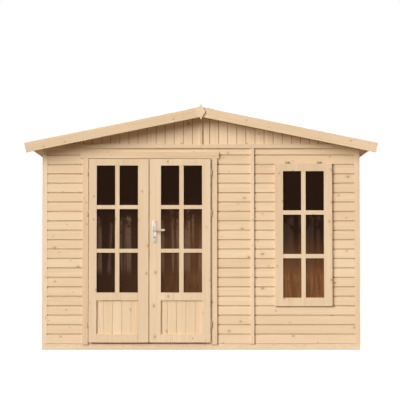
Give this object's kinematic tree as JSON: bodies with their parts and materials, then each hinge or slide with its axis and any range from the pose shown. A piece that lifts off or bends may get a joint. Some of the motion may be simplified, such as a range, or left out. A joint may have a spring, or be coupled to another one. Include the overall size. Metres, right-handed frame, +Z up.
{
  "type": "garden shed",
  "caption": "Timber garden shed with a gable roof, level tongued cladding on studs, a glazed double door with a lever handle, one tall fixed window and a board floor on bearers.",
  "frame": {"origin": "on the ground, at the middle of the shed's width and depth", "axes": "+Z up, the front with the door towards -Y, +X to the right seen from the front"},
  "size_m": [3.2, 2.572, 2.2274],
  "materials": {
    "cladding": "planed untreated spruce",
    "framing": "planed untreated spruce",
    "shingles": "mineral-faced bitumen, matt",
    "hinges": "yellow zinc-plated",
    "handle": "satin",
    "glass": "smooth, clear"
  },
  "bodies": {
    "shed": {"floor_bearers": "framing", "floor_deck": "cladding", "front_back_plates": "framing", "side_plates": "framing", "wall_studs": "framing", "front_wall_left": "cladding", "front_wall_over_door": "cladding", "front_wall_middle": "cladding", "front_wall_right": "cladding", "left_wall": "cladding", "right_wall": "cladding", "back_wall": "cladding", "corner_boards": "cladding", "cover_battens": "cladding", "front_gable": "cladding", "back_gable": "cladding", "gable_rails": "cladding", "roof_rafters": "framing", "roof_deck_left": "cladding", "roof_deck_right": "cladding", "shingles_left": "shingles", "shingles_right": "shingles", "ridge_cap": "shingles", "bargeboards_left": "cladding", "bargeboards_right": "cladding", "fascia_boards": "cladding", "finials": "cladding", "door_side_trims": "cladding", "door_head_trim": "cladding", "door_hinge_posts": "hinges", "window_stiles": "cladding", "window_rails": "cladding", "window_bars": "cladding", "window_glass": "glass", "window_hinges": "hinges"},
    "left_door": {"left_door_stiles": "cladding", "left_door_rails": "cladding", "left_door_bars": "cladding", "left_door_glass": "glass", "left_door_panel": "cladding", "left_door_hinges": "hinges"},
    "right_door": {"right_door_stiles": "cladding", "right_door_rails": "cladding", "right_door_bars": "cladding", "right_door_glass": "glass", "right_door_panel": "cladding", "right_door_hinges": "hinges", "handle_plates": "handle"},
    "door_handle": {"door_lever": "handle"}
  },
  "joints": [
    {"name": "left_door_hinge", "type": "hinge", "parent": "shed", "child": "left_door", "pos_m": [-1.032, -1.1225, 0.9], "axis": [0, 0, -1], "range_deg": [0, 110]},
    {"name": "right_door_hinge", "type": "hinge", "parent": "shed", "child": "right_door", "pos_m": [0.096, -1.1225, 0.9], "axis": [0, 0, 1], "range_deg": [0, 110]},
    {"name": "door_lever_turn", "type": "hinge", "parent": "right_door", "child": "door_handle", "pos_m": [-0.423, -1.12, 1.088], "axis": [0, 1, 0], "range_deg": [0, 40], "stiffness_Nm_per_rad": 1.5, "springref_deg": -14.32}
  ]
}
